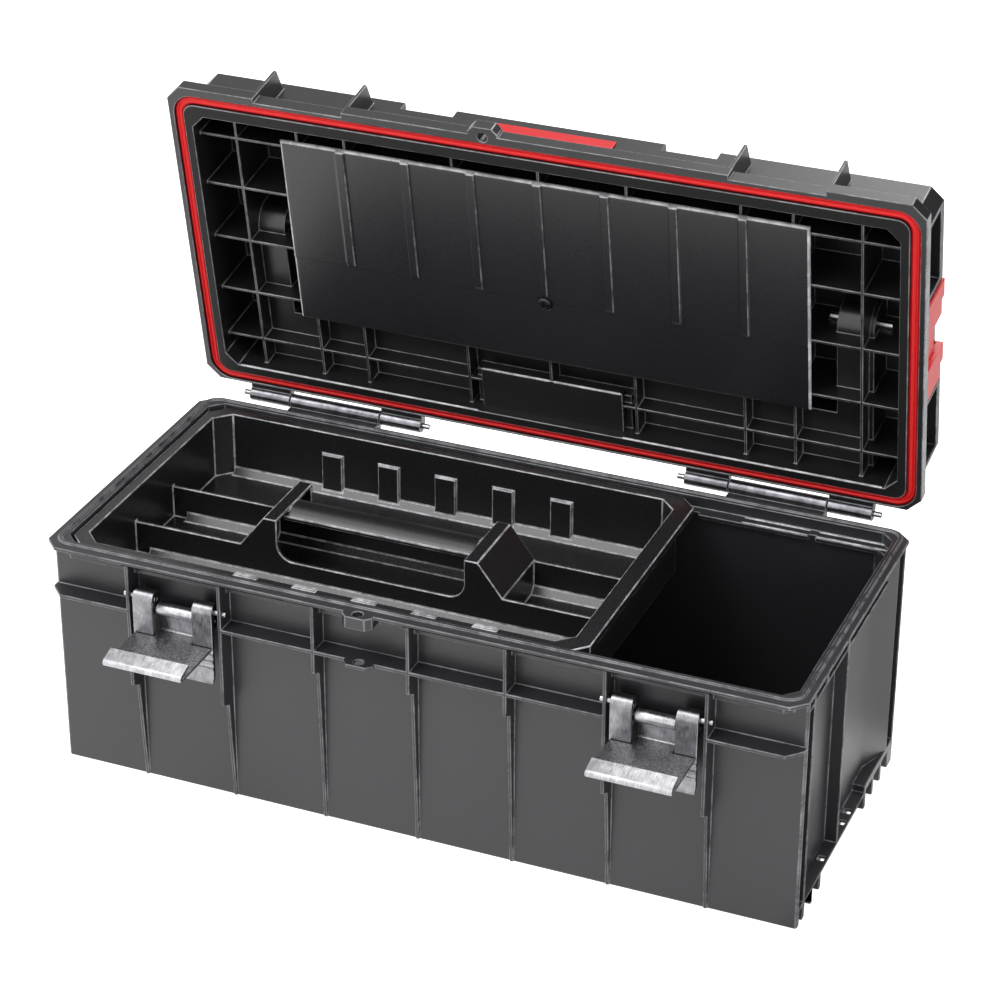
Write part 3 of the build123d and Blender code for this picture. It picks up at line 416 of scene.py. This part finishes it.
low, high = boxOf("lid_panel", shut=True)
screwLow, screwHigh = boxOf("panel_screw", shut=True)
screwCentre = (screwLow + screwHigh) / 2
foldY = low[1] + panel["fold"] * mm
ribCentres = (np.arange(panel["ribs"]) - panel["ribs"] // 2) * panel["pitch"]
flanks = panel["ribHalf"] - panel["shoulder"] * np.linspace(0, 1, panel["flankColumns"])
ribColumns = (ribCentres[:, None] + np.concatenate([-flanks, flanks])).ravel() * mm
aroundScrew = np.arange(-panel["closeReach"], panel["closeReach"], panel["close"]) * mm
insets = np.array(panel["insets"]) * mm


# lines of the panel's grid along one axis: even ones, and closer ones at its sides, the screw and elsewhere,
# all to the nearest 0.01 mm so that none comes twice
def gridLines(axis, elsewhere):
    even = np.arange(low[axis], high[axis], panel["fine"] * mm)
    sides = np.concatenate([[high[axis]], low[axis] + insets, high[axis] - insets])
    lines = np.concatenate([even, sides, screwCentre[axis] + aroundScrew, elsewhere])
    return np.unique(np.round(lines, 5))


columns, rows = gridLines(0, ribColumns), gridLines(1, foldY + insets)
x, y = np.meshgrid(columns, rows, indexing="ij")
foldEase = ease(y, foldY - panel["foldHalf"] * mm, foldY + panel["foldHalf"] * mm)
sheetZ = low[2] + panel["ribRise"] * mm + panel["step"] * mm * foldEase
inRow = np.abs(x) < (panel["ribs"] / 2) * panel["pitch"] * mm
rise = inRow * (1 - ease(ribOffset(x), panel["ribHalf"] - panel["shoulder"], panel["ribHalf"]))
rise = rise * (1 - ease(y, foldY - panel["ribFade"] * mm, foldY))
rise = rise * ease(y, low[1], low[1] + panel["ribStart"] * mm)
seatGap = np.hypot(x - screwCentre[0], y - screwCentre[1]) / mm
rise = rise * ease(seatGap, panel["seat"], panel["seat"] + panel["seatClear"])
sheetZ = sheetZ - panel["ribRise"] * mm * rise
seatEase = 1 - ease(seatGap, panel["seat"] - panel["seatEdge"], panel["seat"])
sheetZ = sheetZ + panel["step"] * mm * seatEase
edgeGap = np.minimum(np.minimum(x - low[0], high[0] - x), np.minimum(y - low[1], high[1] - y))
edgeShare = np.clip(edgeGap / (panel["edge"] * mm), 0, 1)
sheetZ = sheetZ + panel["border"] * mm * (1 - np.sqrt(1 - (1 - edgeShare) ** 2))
front = np.stack([x, y, sheetZ], -1).reshape(-1, 3)
back = np.stack([x, y, np.full_like(x, high[2])], -1).reshape(-1, 3)
quads = latticeFaces(len(columns), len(rows))
count = len(front)
index = np.arange(count).reshape(x.shape)
ring = np.concatenate([index[0, :-1], index[:-1, -1], index[-1, :0:-1], index[:0:-1, 0]])
wall = np.stack([ring, np.roll(ring, -1), np.roll(ring, -1) + count, ring + count], -1)
piece = newPiece("lidPanelSheet", swung(np.concatenate([front, back]), hingeAngle),
                 np.concatenate([quads, quads[:, ::-1] + count, wall]), panelFinish, "lid_panel",
                 panel["crease"])
# the border on three sides, and the right flanks of the ribs along their crests, are pale: a painted
# highlight
centres, normals = facesOf(piece)
centres = swung(centres, -hingeAngle)
sideGap = np.minimum(centres[:, 0] - low[0], high[0] - centres[:, 0])
border = np.minimum(sideGap, centres[:, 1] - low[1]) < panel["glint"] * mm
nearCrest = ribOffset(centres[:, 0]) < panel["ribHalf"] - panel["shoulder"] / 2
crest = nearCrest & (normals[:, 0] > panel["crestLean"])
dress(piece, np.where(border, 1, np.where(crest, 2, 0)), panelEdgeHighlight, lidEdgeHighlight)
print("panel sheet made:", len(quads), "front quads")

# Screw: a turned head with a cross recess, and its shank. Head: dome (r / R)^3, and deep where min(|x|, |y|)
# is under the slot's half width and r is under its reach, each eased between the two values
screw = {"slot": (0.6, 0.825), "reach": (2.7, 3.0), "deep": 1.4, "dome": 0.7, "head": 2.2, "shank": 2.0,
         "around": 96, "rings": 40, "crease": 30.0}
headRadius = (screwHigh[0] - screwLow[0]) / 2
angles = np.linspace(0, 2 * np.pi, screw["around"], endpoint=False)
radii = np.linspace(0, 1, screw["rings"]) * headRadius
r, a = np.meshgrid(radii, angles, indexing="ij")
across = np.minimum(np.abs(r * np.cos(a)), np.abs(r * np.sin(a)))
recess = (1 - ease(across / mm, *screw["slot"])) * (1 - ease(r / mm, *screw["reach"]))
z = screwLow[2] + screw["dome"] * mm * (r / headRadius) ** 3 + screw["deep"] * mm * recess
rings = [np.stack([r * np.cos(a), r * np.sin(a), z], -1)]
headBack = screwLow[2] + screw["head"] * mm
for ringRadius, ringZ in ((headRadius, headBack), (screw["shank"] * mm, headBack),
                          (screw["shank"] * mm, screwHigh[2]), (0.0, screwHigh[2])):
    rings.append(np.stack([ringRadius * np.cos(angles), ringRadius * np.sin(angles),
                           np.full_like(angles, ringZ)], -1)[None])
points = np.concatenate(rings) + (screwCentre[0], screwCentre[1], 0.0)
newPiece("crossScrew", swung(points.reshape(-1, 3), hingeAngle),
         latticeFaces(*points.shape[:2], False, True), screwFinish, "panel_screw", screw["crease"])

# Soft grip: a rounded sleeve with rings moulded round it.
# Dip along the bar: ringRise (1 - cos(2 pi x / pitch)) / 2, and endDrop more where it rounds off at its ends
grip = {"pitch": 6.0, "ringRise": 0.9, "corner": 6.0, "endDrop": 1.5, "endLength": 3.0, "around": 64,
        "along": 241}
low, high = boxOf("handle_grip", shut=True)
centre, half = (low + high) / 2, (high - low) / 2
corner = grip["corner"] * mm
angles = np.linspace(0, 2 * np.pi, grip["around"], endpoint=False)
along = np.linspace(low[0], high[0], grip["along"])
dip = grip["ringRise"] * mm * (1 - np.cos(2 * np.pi * along / (grip["pitch"] * mm))) / 2
endGap = np.minimum(along - low[0], high[0] - along)
dip = (dip + grip["endDrop"] * mm * (1 - ease(endGap, 0, grip["endLength"] * mm)))[:, None]
cosA, sinA = np.cos(angles), np.sin(angles)
outY = np.sign(cosA) * (half[1] - corner) + corner * cosA
outZ = np.sign(sinA) * (half[2] - corner) + corner * sinA
sleeve = np.stack([np.broadcast_to(along[:, None], (len(along), len(angles))),
                   centre[1] + outY - dip * cosA, centre[2] + outZ - dip * sinA], -1)
ends = [(low[0], *centre[1:]), (high[0], *centre[1:])]
points = np.concatenate([sleeve.reshape(-1, 3), ends])
here = np.arange(len(angles))
after = (here + 1) % len(angles)
last = (len(along) - 1) * len(angles)
lowCap = np.stack([np.full_like(here, len(points) - 2), after, here], 1)
highCap = np.stack([np.full_like(here, len(points) - 1), last + here, last + after], 1)
faces = latticeFaces(*sleeve.shape[:2], False, True).tolist() + lowCap.tolist() + highCap.tolist()
newPiece("ringedGrip", swung(points, hingeAngle), faces, gripFinish, "handle_grip")
print("screw and grip made")

# Latch hook: a plate with a rolled claw at its front, and a narrower neck rolled round the axle.
# Rolls: centre + r (sin, cos) of the turned angle. Lengths in millimetres, turns in degrees
hook = {"halfPlate": 29.0, "halfNeck": 13.7, "half": 1.1, "stand": 18.0, "reach": 52.0, "roll": 1.6,
        "clawTurn": 164.0, "clawEnd": 12.2, "plateDepth": 44.2, "bend": 2.6, "barrel": 3.5,
        "barrelTurn": 318.0, "hemAt": 62.0, "hemWide": 9.0, "hemDeep": 0.35, "join": 0.5, "crease": 35.0,
        "plateSteps": 12, "rollSteps": 25, "clawSteps": 8, "clawFirstShare": 0.1, "bendSteps": 13,
        "riseSteps": 6, "barrelSteps": 55}
sheetEdge = {"round": 0.5, "shares": (0.0, 0.15, 0.4, 1.0), "thin": 0.35}


# Sheet metal bent along a path in y and z and drawn out along x, its edges rounded off by easing the
# half thickness h over the last stretch e of the width: h (1 - thin (1 - e)^2). A groove is cut into its
# lower side. Each face's station on the path is given too
def bentSheet(path, halfWidth, midX, halfThick, groove):
    along = np.gradient(path, axis=0)
    along /= np.linalg.norm(along, axis=1)[:, None]
    normal = np.stack([-along[:, 1], along[:, 0]], 1)
    shares = np.array(sheetEdge["shares"])
    inset = shares * sheetEdge["round"]
    stations = midX + np.concatenate([inset - halfWidth, halfWidth - inset[::-1]])
    thick = halfThick * (1 - sheetEdge["thin"] * (1 - np.concatenate([shares, shares[::-1]])) ** 2)[:, None]
    upper = path + normal * thick[..., None]
    lower = path - normal * (thick - groove)[..., None]
    loops = np.concatenate([upper, lower[:, ::-1]], 1)
    points = np.dstack([np.broadcast_to(stations[:, None], loops.shape[:2]), loops])
    count = len(path)
    quads = latticeFaces(*loops.shape[:2], False, True)
    first = np.arange(count - 1)
    end = np.stack([first, first + 1, 2 * count - 2 - first, 2 * count - 1 - first], 1)
    last = end[:, ::-1] + (len(stations) - 1) * 2 * count
    faces = np.concatenate([quads, end, last])
    station = faces[:, 0] % (2 * count)
    return points.reshape(-1, 3), faces, np.where(station < count, station, 2 * count - 1 - station)


for side in ("left", "right"):
    node = "latch_hook_" + side
    axleY, axleZ = np.array(joints["hook_" + side + "_swing"]["pos_m"][1:]) / mm
    low, high = (corner / mm for corner in boxOf(node))
    midX = (low[0] + high[0]) / 2
    plateZ = axleZ - hook["stand"] - hook["half"]
    tipY = axleY - hook["reach"]
    noseY = tipY + hook["roll"] + hook["half"]
    plateRear = low[1] + hook["plateDepth"]
    plateY = np.linspace(plateRear, noseY, hook["plateSteps"], endpoint=False)
    flat = np.column_stack([plateY, np.full_like(plateY, plateZ)])
    turn = np.radians(np.linspace(0, hook["clawTurn"], hook["rollSteps"]))
    roll = np.column_stack([noseY - hook["roll"] * np.sin(turn), plateZ + hook["roll"] * (1 - np.cos(turn))])
    clawWay = np.array([-np.cos(turn[-1]), np.sin(turn[-1])])
    clawLength = (tipY + hook["clawEnd"] - roll[-1, 0]) / clawWay[0]
    clawShares = np.linspace(hook["clawFirstShare"], 1, hook["clawSteps"])
    claw = roll[-1] + clawShares[:, None] * clawLength * clawWay
    path = np.concatenate([flat, roll, claw])
    hem = hook["hemDeep"] * np.exp(-((np.degrees(turn) - hook["hemAt"]) / hook["hemWide"]) ** 2)
    groove = np.concatenate([np.zeros(len(flat)), hem, np.zeros(len(claw))])
    platePoints, plateFaces, plateStation = bentSheet(path, hook["halfPlate"], midX, hook["half"], groove)
    neckY = axleY + hook["barrel"]
    turn = np.radians(np.linspace(0, 90, hook["bendSteps"]))
    bend = np.column_stack([neckY - hook["bend"] + hook["bend"] * np.sin(turn),
                            plateZ + hook["bend"] * (1 - np.cos(turn))])
    riseZ = np.linspace(bend[-1, 1] + hook["join"], axleZ - hook["join"], hook["riseSteps"])
    rise = np.column_stack([np.full_like(riseZ, neckY), riseZ])
    turn = np.radians(np.linspace(0, hook["barrelTurn"], hook["barrelSteps"]))
    barrel = np.column_stack([axleY + hook["barrel"] * np.cos(turn), axleZ + hook["barrel"] * np.sin(turn)])
    path = np.concatenate([[[plateRear, plateZ]], bend, rise, barrel])
    neckPoints, neckFaces, neckStation = bentSheet(path, hook["halfNeck"], midX, hook["half"], 0.0)
    piece = newPiece(node + "Sheet", np.concatenate([platePoints, neckPoints]) * mm,
                     np.concatenate([plateFaces, neckFaces + len(platePoints)]), hookFinish, node,
                     hook["crease"])
    dress(piece, np.concatenate([plateStation > len(flat), neckStation > len(bend)]), clawFinish)
print("hooks bent")


# Beads: low rounded strips moulded on a face, each run drawn to a point at its ends.
# Section over the width t: side half (2 t - 1) + out rise sin(pi t), times growShares at tipShares of the
# half width from an end. Lengths of every row in millimetres, the lid's with the lid shut
bead = {"across": 9, "tipShares": (0.0, 0.5, 1.5), "growShares": (0.0, 0.6, 1.0)}


def beadRow(name, runs, side, out, half, rise, finish, node, opened=False):
    t = np.linspace(0, 1, bead["across"])
    section = np.outer(half * (2 * t - 1), side) + np.outer(rise * np.sin(np.pi * t), out)
    grow = np.concatenate([bead["growShares"], bead["growShares"][::-1]])
    start, stop = np.asarray(runs, float).swapaxes(0, 1)
    reach = np.linalg.norm(stop - start, axis=1)[:, None]
    ends = half * np.tile(bead["tipShares"], (len(runs), 1))
    shares = np.concatenate([ends, reach - ends[:, ::-1]], 1) / reach
    spine = start[:, None] + shares[..., None] * (stop - start)[:, None]
    points = (spine[:, :, None] + section * grow[:, None, None]).reshape(-1, 3) * mm
    eachRun = np.arange(len(runs))[:, None, None] * len(grow) * len(t)
    faces = (latticeFaces(len(grow), len(t), False, True) + eachRun).reshape(-1, 4)
    newPiece(name, swung(points, hingeAngle) if opened else points, faces, finish, node, replace=False)


# runs along x over each span, at one y and z
def levelRuns(spans, y, z):
    return [((start, y, z), (stop, y, z)) for start, stop in spans]


# runs at an even pitch along x, each from one y and z to another
def pitchedRuns(first, pitch, count, start, stop):
    return [((first + k * pitch, *start), (first + k * pitch, *stop)) for k in range(count)]


# Hand recess from the inside: a block over the rib grid, one profile carried round a rectangle, and beads
# along its upper edge. Profile: up the wall from the root, then a quarter circle of the edge's radius
bulge = {"low": (-53.0, 76.8), "high": (53.0, 113.0), "face": 184.6, "root": 192.0, "edge": 0.8,
         "corner": 1.2, "arc": 5, "crease": 30.0, "highlightLean": (20.0, 80.0),
         "beadX": ((-52.4, -0.6), (1.6, 52.4)), "beadHalf": 0.8, "beadRise": 0.5}
turn = np.radians(np.linspace(0, 90, bulge["arc"]))
inset = np.concatenate([[0.0], bulge["edge"] * (1 - np.cos(turn))])
height = np.concatenate([[bulge["root"]], bulge["face"] + bulge["edge"] * (1 - np.sin(turn))])
points = carriedRound(bulge["low"], bulge["high"], bulge["corner"], bulge["arc"],
                      bulge["corner"] - inset, height) * mm
index = np.arange(points.size // 3).reshape(points.shape[:2])
faces = latticeFaces(*points.shape[:2], True, False).tolist() + index[:, [0, -1]].T.tolist()
piece = newPiece("handBulge", swung(points.reshape(-1, 3), hingeAngle), faces, lidFinish, "lid_shell",
                 bulge["crease"], replace=False)
# its edge is pale where it turns from the way that the lid's opening looks, between the two angles: a painted
# highlight
lidOut = (swung(hingePlace[None] - (0, 0, 1), hingeAngle) - hingePlace)[0]
lean = np.degrees(np.arccos(np.clip(facesOf(piece)[1] @ lidOut, -1, 1)))
dress(piece, (lean > bulge["highlightLean"][0]) & (lean < bulge["highlightLean"][1]), lidEdgeHighlight)
slant = math.sqrt(0.5)
edgeSide, edgeOut = (0, slant, -slant), (0, -slant, -slant)
sunk = bulge["edge"] * (1 - slant)
# the beads along its upper edge are pale: a painted highlight
beadRow("bulgeBeads", levelRuns(bulge["beadX"], bulge["low"][1] + sunk, bulge["face"] + sunk),
        edgeSide, edgeOut, bulge["beadHalf"], bulge["beadRise"], panelEdgeHighlight, "lid_shell", True)

# Beads along the shelf of the right compartment, pale: a painted highlight along its edges
shelf = {"x": ((151.0, 199.2), (204.8, 257.0)), "y": (106.3, 113.2), "z": 168.0, "half": 0.9, "rise": 0.7}
runs = [run for y in shelf["y"] for run in levelRuns(shelf["x"], y, shelf["z"])]
beadRow("shelfBeads", runs, (0, 1, 0), (0, 0, 1), shelf["half"], shelf["rise"], trayEdgeHighlight, "base_tub")

# Ribs up the plain back
backRib = {"first": -228.0, "pitch": 76.0, "count": 7, "foot": (111.0, 4.0), "head": (111.0, 161.0),
           "half": 1.6, "rise": 2.4}
runs = pitchedRuns(backRib["first"], backRib["pitch"], backRib["count"], backRib["foot"], backRib["head"])
beadRow("backRibs", runs, (1, 0, 0), (0, 1, 0), backRib["half"], backRib["rise"], caseFinish, "base_tub")

# Ridges on the lid's deck
ridge = {"first": -150.0, "pitch": 60.0, "count": 6, "front": (-72.0, 229.8), "rear": (56.0, 229.8),
         "half": 2.2, "rise": 1.2}
runs = pitchedRuns(ridge["first"], ridge["pitch"], ridge["count"], ridge["front"], ridge["rear"])
beadRow("deckRidges", runs, (1, 0, 0), (0, 0, 1), ridge["half"], ridge["rise"], lidFinish, "lid_shell", True)

# Bead along the rear edge of the lid's flange, on both sides of the hand recess, pale: a painted highlight
# along the edge
flange = {"x": ((-243.0, -54.0), (54.0, 243.0)), "y": 109.1, "z": 177.4, "half": 0.8, "rise": 0.35}
beadRow("flangeBeads", levelRuns(flange["x"], flange["y"], flange["z"]), edgeSide, edgeOut,
        flange["half"], flange["rise"], panelEdgeHighlight, "lid_shell", True)
print("beads laid")


# weight of the rays that see the surround: a base for all, camera rays brought to one level,
# and mirrored ones raised by a level that varies over the studio
def surroundLevel(tree, base, seen, mirrored):
    rays = add(tree, "ShaderNodeLightPath")
    bent = add(tree, "ShaderNodeMath", links={0: rays.outputs["Is Glossy Ray"],
                                              1: rays.outputs["Is Transmission Ray"]}, operation="MAXIMUM")
    camera = add(tree, "ShaderNodeMath", {1: seen - base, 2: base}, {0: rays.outputs["Is Camera Ray"]},
                 operation="MULTIPLY_ADD")
    return add(tree, "ShaderNodeMath", links={0: bent.outputs[0], 1: mirrored, 2: camera.outputs[0]},
               operation="MULTIPLY_ADD").outputs[0]


# a soft step: value a goes to first and value b to last, level beyond them
def softStep(tree, value, a, b, first=0.0, last=1.0):
    return add(tree, "ShaderNodeMapRange", {"From Min": a, "From Max": b, "To Min": first, "To Max": last},
               {"Value": value}, interpolation_type="SMOOTHSTEP").outputs[0]


# product or greater of two levels
def combine(tree, one, two, operation="MULTIPLY"):
    return add(tree, "ShaderNodeMath", links={0: one, 1: two}, operation=operation).outputs[0]


# Floor: matt white paper that reads as the white background and keeps a faint shadow. It glows, and in
# reflections
# its glow is a painted reflection: brighter on the left, and dark to the right of the case where no card
# lies, with a gap that the case's end shows. Places in metres
paper = {"half": 6.0, "z": -0.2 * mm, "seen": 0.86, "fadeX": (-0.3, 0.4), "left": 1.4, "right": 1.0,
         "darkReflection": 0.03, "darkReflectionX": (0.245, 0.275), "darkReflectionEndX": (2.0, 3.0), "darkReflectionY": (-0.16, -0.1),
         "gapStartY": (0.05, 0.07), "gapStopY": (0.12, 0.15), "gapEndX": (0.36, 0.4)}
floorMesh = bpy.data.meshes.new("floor")
floorCorners = [(x * paper["half"], y * paper["half"], paper["z"])
                for x, y in ((-1, -1), (1, -1), (1, 1), (-1, 1))]
floorMesh.from_pydata(floorCorners, [], [(0, 1, 2, 3)])
floor = bpy.data.objects.new("floor", floorMesh)
bpy.context.scene.collection.objects.link(floor)
paperFinish, tree, shader = newMaterial("whitePaper", {"Base Color": colour("#f4f4f4"), "Roughness": 0.9,
                                                       "Emission Color": (1, 1, 1, 1)})
where = add(tree, "ShaderNodeTexCoord").outputs["Object"]
spot = add(tree, "ShaderNodeSeparateXYZ", links={0: where})
spotX, spotY = spot.outputs["X"], spot.outputs["Y"]
darkReflection = combine(tree, softStep(tree, spotX, *paper["darkReflectionX"]),
               softStep(tree, spotX, *paper["darkReflectionEndX"], 1.0, 0.0))
darkReflection = combine(tree, darkReflection, softStep(tree, spotY, *paper["darkReflectionY"]))
beside = combine(tree, softStep(tree, spotY, *paper["gapStartY"], 1.0, 0.0),
                 softStep(tree, spotY, *paper["gapStopY"]), "MAXIMUM")
beside = combine(tree, beside, softStep(tree, spotX, *paper["gapEndX"]), "MAXIMUM")
darkReflection = combine(tree, darkReflection, beside)
white = softStep(tree, spotX, *paper["fadeX"], paper["left"], paper["right"])
mirrored = add(tree, "ShaderNodeMix", {"B": paper["darkReflection"]}, {"Factor": darkReflection, "A": white}).outputs[0]
tree.links.new(surroundLevel(tree, 0.0, paper["seen"], mirrored), shader.inputs["Emission Strength"])
floorMesh.materials.append(paperFinish)

# World: white where it is seen, a dim even light otherwise; mirrored, it is bright ahead and overhead
# and dim low at the rear
worldLight = {"ambient": 0.5, "seen": 1.0, "rear": 0.2, "rearRight": -0.42, "ahead": 2.1,
              "rearY": (0.15, 0.55), "rightX": (-0.1, 0.2), "overhead": (0.72, 0.9)}
world = bpy.data.worlds.new("studio")
bpy.context.scene.world = world
world.use_nodes = True
sky = world.node_tree
sky.nodes.clear()
way = add(sky, "ShaderNodeSeparateXYZ", links={0: add(sky, "ShaderNodeTexCoord").outputs["Generated"]})
bright = combine(sky, softStep(sky, way.outputs["Y"], *worldLight["rearY"], 1.0, 0.0),
                 softStep(sky, way.outputs["Z"], *worldLight["overhead"]), "MAXIMUM")
rear = softStep(sky, way.outputs["X"], *worldLight["rightX"], worldLight["rear"], worldLight["rearRight"])
mirrored = add(sky, "ShaderNodeMix", {"B": worldLight["ahead"]}, {"Factor": bright, "A": rear}).outputs[0]
glow = add(sky, "ShaderNodeBackground", {"Color": (1, 1, 1, 1)},
           {"Strength": surroundLevel(sky, worldLight["ambient"], worldLight["seen"], mirrored)})
add(sky, "ShaderNodeOutputWorld", links={"Surface": glow.outputs[0]})

# Soft boxes: place, target, size in metres and power in watts
softBoxes = {
    "keyLeft": ((-0.8, -1.0, 2.2), (0.0, 0.0, 0.15), 1.2, 24.0),
    "fillRight": ((1.8, -0.5, 1.2), (0.0, 0.0, 0.15), 1.0, 7.0),
    "topRear": ((0.2, 1.3, 1.6), (0.0, 0.1, 0.25), 1.0, 14.0),
}
for name, (place, target, size, power) in softBoxes.items():
    lamp = bpy.data.lights.new(name, "AREA")
    lamp.shape = "SQUARE"
    lamp.size = size
    lamp.energy = power
    lampObject = bpy.data.objects.new(name, lamp)
    lampObject.location = place
    lampObject.rotation_euler = (Vector(target) - Vector(place)).to_track_quat("-Z", "Y").to_euler()
    bpy.context.scene.collection.objects.link(lampObject)

# Camera fitted to the photograph: place in metres, turns in degrees, lens and sensor in millimetres
photoView = {"place": (0.72583, -1.72624, 1.23251), "azimuth": 22.373, "elevation": 28.712, "roll": 0.214,
             "lens": 114.579, "sensor": 36.0, "clip": (0.05, 50.0)}
azimuth, elevation, roll = (math.radians(photoView[key]) for key in ("azimuth", "elevation", "roll"))
ahead = Vector((-math.sin(azimuth) * math.cos(elevation), math.cos(azimuth) * math.cos(elevation),
                -math.sin(elevation)))
cameraData = bpy.data.cameras.new("photoCamera")
cameraData.lens = photoView["lens"]
cameraData.sensor_width = photoView["sensor"]
cameraData.clip_start, cameraData.clip_end = photoView["clip"]
camera = bpy.data.objects.new("photoCamera", cameraData)
turned = ahead.to_track_quat("-Z", "Y").to_matrix() @ Matrix.Rotation(roll, 3, "Z")
camera.matrix_world = Matrix.Translation(photoView["place"]) @ turned.to_4x4()
bpy.context.scene.collection.objects.link(camera)
bpy.context.scene.camera = camera
bpy.context.scene.view_settings.view_transform = "Standard"
print("stage, lamps and camera made")
